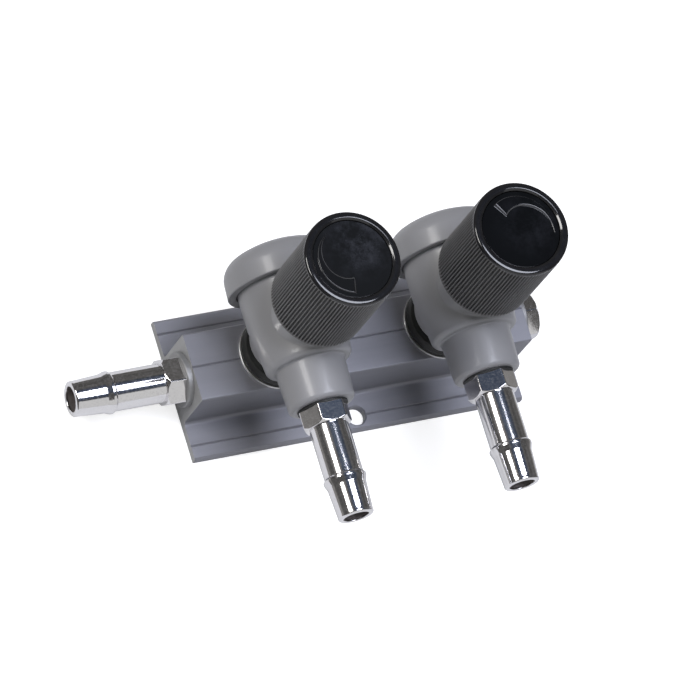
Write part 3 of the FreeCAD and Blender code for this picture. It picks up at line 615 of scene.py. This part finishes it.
def web_grids():
    """Webs round the hub: a rounded slab section, with powers of cosine and sine for its two
    half sizes, carried straight out from the hub into the wall and closed at both ends."""
    turn = np.linspace(0, 2 * np.pi, 24, endpoint=False)
    across = np.sign(np.cos(turn)) * abs(np.cos(turn)) ** 0.3 * WEB_HALF_WIDTH
    height = np.sign(np.sin(turn)) * abs(np.sin(turn)) ** 0.1 * WEB_HALF_HEIGHT
    along = np.array([WEB_INNER, WEB_INNER, WEB_OUTER, WEB_OUTER])[:, None]
    open_ends = np.array([0, 1, 1, 0])[:, None]
    width, level = open_ends * across, WEB_MIDDLE + open_ends * height
    grids = []
    for number in range(WEBS):
        out = math.radians(30 + 360 / WEBS * number)
        x = along * math.cos(out) - width * math.sin(out)
        y = along * math.sin(out) + width * math.cos(out)
        grids.append((np.stack([x, y, level], -1), 0))
    return grids


def knob_black():
    """Satin black: darkened in the grooves as painted shade and paler along the crests, partly
    wear and partly painted light, by the mesh's own height of rib, with fine moulded grain."""
    finish = Finish("knob_black")
    grain = finish.noise(3000, 3)
    crest_patches = finish.noise(120, 3)
    crest = finish.node("ShaderNodeAttribute", {"attribute_name": "crest"}, output="Fac")
    # Painted shade in the grooves, and painted light with some wear on the crests.
    painted_rib_shade_and_wear = crest * (0.7 + crest_patches * 0.6)
    return finish.coat({
        "Base Color": finish.shades(painted_rib_shade_and_wear, (0.006, 0.006, 0.0065), (0.13, 0.128, 0.127)),
        "Roughness": 0.34 + grain * 0.12,
        "Normal": finish.relief(grain, 0.00002, 0.4),
    })


def mark_crests(mesh, place):
    """Attribute: 0 at a groove's root and inside, rising with the radius to 1 at a crest."""
    spots = np.empty(len(mesh.vertices) * 3)
    mesh.vertices.foreach_get("co", spots)
    x, y, _ = spots.reshape(-1, 3).T / MM
    share = (np.hypot(x - place, y) - RIB_ROOT) / (RIB_CREST - RIB_ROOT)
    mesh.attributes.new("crest", "FLOAT", "POINT").data.foreach_set("value", share.clip(0, 1))


def polished_black():
    """The rim, where the mould was polished: glossy black with faint scuffs."""
    finish = Finish("polished_black")
    scuffs = finish.noise(420, 4, roughness=0.65)
    return finish.coat({
        "Base Color": finish.shades(scuffs, (0.005, 0.005, 0.006), (0.016, 0.016, 0.017)),
        "Roughness": 0.05 + scuffs * 0.07,
        "IOR": 1.58,
        "Normal": finish.relief(scuffs, 0.00002, 0.3),
    })


satin_black, rim_black = knob_black(), polished_black()
for side, place in VALVES.items():
    shift = np.array([place, 0, 0])
    grids = [(grid + shift, index) for grid, index in knob_grids() + web_grids()]
    knob = build("knob_made_" + side, grids, [satin_black, rim_black])
    mark_crests(knob.data, place)
    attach(knob, "spindle_" + side)
    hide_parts("knob_" + side)


# Knob caps. Glossy black discs pressed into the knobs, each with a low crescent that grows
# from a point to a blunt end and shows which way the valve opens.

DISC_TOP = 67.35
DISC_PROFILE = [(0, DISC_SEAT), (8.43, DISC_SEAT, 0.1), (8.43, 67.25, 0.05),
                (8.33, DISC_TOP, 0.06), (0, DISC_TOP)]
DISC_COLUMNS = 192
SWEEP_STARTS, SWEEP_ANGLE, SWEEP_ROWS = {"left": -98.7, "right": 126.0}, 142.0, 71
SWEEP_OUTER, SWEEP_INNER_START, SWEEP_INNER_END = 7.45, 3.75, 7.3
SWEEP_SUNK, SWEEP_FOOT, SWEEP_RISE = 67.2, 67.345, 0.24
SWEEP_IN, SWEEP_OUT, SWEEP_BLUNT, SWEEP_FULL = 0.5, 0.22, 0.044, 1.2


def sweep_grid(start):
    """Crescent: its outer edge is an arc, its inner edge a spiral that winds out to it. Its
    height rises by a smooth step, 3kk - 2kkk, in from both edges and from the blunt end, and
    falls off with its width towards the point. Its foot is sunk in the disc. One more row past
    each slope keeps the top flat when shaded. Columns run round the section."""
    ramp = np.append(np.linspace(0, 1, 9), 1.2)
    step = ramp.clip(0, 1) ** 2 * (3 - 2 * ramp.clip(0, 1))
    rest = np.linspace(ramp[-1] * SWEEP_BLUNT, 1, SWEEP_ROWS + 1)[1:]
    share = np.concatenate([ramp * SWEEP_BLUNT, rest])[:, None]
    ahead = np.concatenate([step, np.ones(SWEEP_ROWS)])[:, None]
    angle = np.radians(start - SWEEP_ANGLE * share)
    outer = np.full_like(share, SWEEP_OUTER)
    inner = SWEEP_INNER_START + (SWEEP_INNER_END - SWEEP_INNER_START) * share
    full = np.minimum((outer - inner) / SWEEP_FULL, 1)
    radius = np.concatenate([inner, inner + SWEEP_IN * full * ramp,
                             outer - SWEEP_OUT * full * ramp[::-1], outer], 1)
    rise = SWEEP_RISE * ahead * full * np.concatenate([step, step[::-1]])
    low = np.full_like(share, SWEEP_SUNK)
    height = np.concatenate([low, SWEEP_FOOT + rise, low], 1)
    grid = np.stack([radius * np.cos(angle), radius * np.sin(angle), height], -1)
    shut = np.repeat(grid.mean(1, keepdims=True), grid.shape[1], axis=1)
    return np.concatenate([shut[:1], grid, shut[-1:]])


def disc_black(side, middle, reflection_amount, dark):
    """Glossy near-black, with cloudy bluish patches of painted reflection that thin out from one
    place, over a base level given per knob that is lower where shade is painted, and a paler
    line painted along the crescent's edges as their highlight, by the mesh's own mark."""
    finish = Finish("disc_black_" + side)
    cloud = finish.noise(230, 5, roughness=0.72)
    spot = finish.node("ShaderNodeVectorMath", {"operation": "DISTANCE"}, {
        0: finish.position(), 1: Vector(middle) * MM}, output="Value")
    # Painted reflection: how strongly its patches show, falling off from one place on the disc.
    reflection_falloff = finish.node("ShaderNodeMapRange", {"interpolation_type": "SMOOTHSTEP"}, {
        "Value": spot, "From Min": 0.0105, "From Max": 0.001, "To Min": 0.0, "To Max": reflection_amount})
    reflection_patches = finish.node("ShaderNodeValToRGB", {"stops": [(0.4, 0.0), (0.66, 1.0)]},
                          {"Fac": cloud})
    painted_reflection = reflection_patches * reflection_falloff
    grain = finish.noise(2400, 2)
    edge = finish.node("ShaderNodeAttribute", {"attribute_name": "edge"}, output="Fac")
    # The disc's colour: its base level per knob, with the bluish painted reflection over it.
    base_with_painted_reflection = finish.shades(painted_reflection, (dark, dark * 1.03, dark * 1.06), (0.026, 0.0275, 0.034))
    return finish.coat({
        # The paler line on the crescent's steep edges is a painted highlight.
        "Base Color": finish.shades(edge * (0.6 + cloud * 0.7), base_with_painted_reflection, (0.06, 0.06, 0.062)),
        "Roughness": 0.07 + painted_reflection * 0.16 + edge * 0.06,
        "Normal": finish.relief(grain * 0.3 + cloud * 0.7, 0.00002, 0.15),
    })


EDGE_ABOVE, STEEP = 67.4, 0.9


def mark_painted_highlight_edges(mesh):
    """Attribute for the painted highlight: 1 on the crescent's slopes where they are steep, 0 on
    its top and the disc.
    """
    spots, facing = np.empty(len(mesh.vertices) * 3), np.empty(len(mesh.vertices) * 3)
    mesh.vertices.foreach_get("co", spots)
    mesh.vertex_normals.foreach_get("vector", facing)
    height, upward = spots[2::3] / MM, facing[2::3]
    mesh.attributes.new("edge", "FLOAT", "POINT").data.foreach_set(
        "value", ((height > EDGE_ABOVE) & (upward < STEEP)).astype(float))


# Painted reflection per knob: where its patches centre, how strong they are, and the disc's base
# level, lower on the right knob as painted shade.
PAINTED_REFLECTION = {"left": ((2.4, 3.6), 1.0, 0.0082), "right": ((2.5, 1.0), 0.3, 0.0034)}
for side, place in VALVES.items():
    shift = np.array([place, 0, 0])
    (east, north), reflection_amount, dark = PAINTED_REFLECTION[side]
    gloss_black = disc_black(side, (place + east, north, DISC_TOP), reflection_amount, dark)
    disc = turned(rounded(DISC_PROFILE), DISC_COLUMNS) + shift
    crescent = sweep_grid(SWEEP_STARTS[side]) + shift
    cap = build("knob_cap_made_" + side, [(disc, 0), (crescent, 0)], [gloss_black])
    mark_painted_highlight_edges(cap.data)
    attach(cap, "spindle_" + side)
    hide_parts("knob_cap_" + side)


# Table, dark cards, lamps and camera. A pale table stands under the valve. A warm-neutral lamp
# is high on the left, a cool one overhead and a weak large one in front. Dark cards, out of
# sight, are what the chrome reflects. The camera looks down from the left front, as in the photo.

TABLE_HALF = 2.0

table_mesh = bpy.data.meshes.new("table_top")
table_mesh.from_pydata([(-TABLE_HALF, -TABLE_HALF, 0), (TABLE_HALF, -TABLE_HALF, 0),
                        (TABLE_HALF, TABLE_HALF, 0), (-TABLE_HALF, TABLE_HALF, 0)],
                       [], [(0, 1, 2, 3)])
table_top = bpy.data.objects.new("table_top", table_mesh)
bpy.context.scene.collection.objects.link(table_top)


def kinds_of_ray(finish):
    """Two wires: 1 for what the eye sees directly, and 1 for what it sees in gloss or glass."""
    seen = finish.node("ShaderNodeLightPath", output="Is Camera Ray")
    rays = seen.socket.node.outputs
    return seen, Wire(finish, rays["Is Glossy Ray"]) + Wire(finish, rays["Is Transmission Ray"])


def pale_table():
    """Pale diffuse board that shows white to the eye, and a share of that in reflections."""
    finish = Finish("pale_table")
    seen, mirrored = kinds_of_ray(finish)
    board = finish.node("ShaderNodeBsdfDiffuse", None, {"Color": (0.55, 0.55, 0.55)},
                        output="BSDF")
    glow = finish.node("ShaderNodeEmission", None, {
        "Color": (1, 1, 1), "Strength": seen * 0.72 + mirrored * 0.13}, output="Emission")
    both = finish.node("ShaderNodeAddShader", None, {0: board, 1: glow})
    finish.node("ShaderNodeOutputMaterial", None, {"Surface": both})
    return finish.material


table_mesh.materials.append(pale_table())

world = bpy.data.worlds.new("studio")
bpy.context.scene.world = world
world.use_nodes = True
air = Finish("studio", world.node_tree)
seen, mirrored = kinds_of_ray(air)
sky = air.node("ShaderNodeBackground", None, {
    "Color": (1, 1, 1), "Strength": 0.21 + seen * 0.79 + mirrored * 0.44})
air.node("ShaderNodeOutputWorld", None, {"Surface": sky})


LEFT, OVERHEAD, FRONT = (-0.68, 0.28, 0.68), (0.15, -0.07, 0.985), (0.35, -0.88, 0.3)
DOME_RADIUS, DOME_COLUMNS, DOME_ROWS = 1.3, 72, 25
OPENING_TOP, OPENING_HALF, OPENING_SOFT = math.radians(46), 0.75, 0.05
SKIRT_RADIUS, SKIRT_HEIGHT, HEIGHT_COUNTS = 0.09, 0.002, 100


def card_black():
    """Nearly black, with slow drifts of shade and a halo round each lamp that the chrome
    reflects. The skirt gets paler towards the valve, by how far out it is; height counts a
    hundred times over in that, so that the dome itself stays dark."""
    finish = Finish("dark_card")
    place = finish.node("ShaderNodeTexCoord", output="Object")
    aim = finish.node("ShaderNodeVectorMath", {"operation": "NORMALIZE"}, {0: place})

    def smooth_step(value, outside, inside):
        """1 up to the inside value, 0 past the outside one, with an even slope between."""
        return finish.node("ShaderNodeMapRange", {"interpolation_type": "SMOOTHSTEP"}, {
            "Value": value, "From Min": outside, "From Max": inside, "To Min": 0.0,
            "To Max": 1.0})

    def halo(toward, inside, outside):
        """Share of a lamp's halo: 1 within one distance of its direction, 0 past another."""
        away = finish.node("ShaderNodeVectorMath", {"operation": "DISTANCE"},
                           {0: aim, 1: Vector(toward).normalized()}, output="Value")
        return smooth_step(away, outside, inside)

    tall = finish.node("ShaderNodeVectorMath", {"operation": "MULTIPLY"},
                       {0: place, 1: (1, 1, HEIGHT_COUNTS)})
    far = finish.node("ShaderNodeVectorMath", {"operation": "LENGTH"}, {0: tall}, output="Value")
    drift = finish.node("ShaderNodeTexNoise", None,
                        {"Vector": place, "Scale": 2.6, "Detail": 2.0})
    colour = finish.shades(halo(OVERHEAD, 0.5, 0.66), (1, 0.97, 0.94), (0.52, 0.67, 1.0))
    strength = (0.02 + drift * 0.14 + halo(OVERHEAD, 0.3, 0.5) * 0.04
                + halo(LEFT, 0.14, 0.4) * 0.34 + smooth_step(far, 0.42, 0.1) * 0.25)
    shade = finish.node("ShaderNodeEmission", None, {"Color": colour, "Strength": strength},
                        output="Emission")
    finish.node("ShaderNodeOutputMaterial", None, {"Surface": shade})
    return finish.material


def dark_cards():
    """Dome over the table, open in front: its rows rise from the table round the sides and
    back, and from the opening's top in front. A skirt runs in over the table from the dome's
    foot, except in front."""
    turn = np.radians(np.linspace(-90, 270, DOME_COLUMNS + 1))
    front = 1 / (1 + np.exp((abs(turn + np.pi / 2) - OPENING_HALF) / OPENING_SOFT))
    front += 1 / (1 + np.exp((abs(turn - 1.5 * np.pi) - OPENING_HALF) / OPENING_SOFT))
    lowest = OPENING_TOP * front
    share = np.linspace(0, 1, DOME_ROWS)[:, None]
    rise = lowest + (np.pi / 2 - lowest) * share
    dome = DOME_RADIUS * np.stack([np.cos(rise) * np.cos(turn), np.cos(rise) * np.sin(turn),
                                   np.sin(rise)], -1)
    skirt = dome[:1].copy()
    skirt[..., :2] *= SKIRT_RADIUS / DOME_RADIUS
    skirt[..., 2] += SKIRT_HEIGHT
    skirt[0, front > 0.5] = dome[0, front > 0.5]
    grid = np.concatenate([skirt, dome[:1], dome])
    rows, columns = grid.shape[:2]
    number = np.arange(rows * columns).reshape(rows, columns)
    quads = np.stack([number[:-1, :-1], number[:-1, 1:], number[1:, 1:], number[1:, :-1]], -1)
    mesh = bpy.data.meshes.new("dark_cards")
    mesh.from_pydata(grid.reshape(-1, 3).tolist(), [], quads.reshape(-1, 4).tolist())
    mesh.materials.append(card_black())
    cards = bpy.data.objects.new("dark_cards", mesh)
    bpy.context.scene.collection.objects.link(cards)
    cards.visible_camera = cards.visible_diffuse = cards.visible_shadow = False
    cards.visible_transmission = cards.visible_volume_scatter = False


dark_cards()

VALVE_MIDDLE = Vector((0, 0, 0.03))


def lamp(name, toward, distance, shape, size, radiance, colour, mirrored=True):
    """Soft box that faces the middle of the valve from a direction, at a surface brightness."""
    data = bpy.data.lights.new(name, "AREA")
    data.shape = shape
    data.size, data.size_y = size
    area = size[0] * size[1] * (math.pi / 4 if shape == "ELLIPSE" else 1)
    data.energy = radiance * math.pi * area
    data.color = colour
    made = bpy.data.objects.new(name, data)
    made.visible_glossy = mirrored
    made.location = Vector(toward).normalized() * distance + VALVE_MIDDLE
    made.rotation_mode = "QUATERNION"
    made.rotation_quaternion = (VALVE_MIDDLE - made.location).to_track_quat("-Z", "Y")
    bpy.context.scene.collection.objects.link(made)


lamp("left_box", LEFT, 1.2, "RECTANGLE", (0.5, 0.34), 12.5, (1.0, 0.985, 0.965))
lamp("overhead_box", OVERHEAD, 1.2, "ELLIPSE", (0.73, 0.73), 9.7, (0.85, 0.88, 1.0))
lamp("front_card", FRONT, 1.0, "RECTANGLE", (1.0, 0.7), 0.35, (0.97, 0.98, 1.0), False)

CAMERA_PLACE = (-545.75, -397.3, 1262.8)
CAMERA_RIGHT = (0.90869, -0.28460, 0.30542)
CAMERA_UP = (0.16548, 0.91723, 0.36237)
CAMERA_BACK = (-0.38327, -0.27874, 0.88057)

camera = bpy.data.objects.new("camera", bpy.data.cameras.new("camera"))
camera.data.sensor_width = 36
camera.data.lens = 347.08
camera.data.clip_start, camera.data.clip_end = 0.1, 20
pose = np.eye(4)
pose[:3, 0], pose[:3, 1], pose[:3, 2] = CAMERA_RIGHT, CAMERA_UP, CAMERA_BACK
pose[:3, 3] = np.array(CAMERA_PLACE) * MM
camera.matrix_world = Matrix(pose.tolist())
bpy.context.scene.collection.objects.link(camera)
bpy.context.scene.camera = camera
bpy.context.scene.view_settings.view_transform = "Standard"
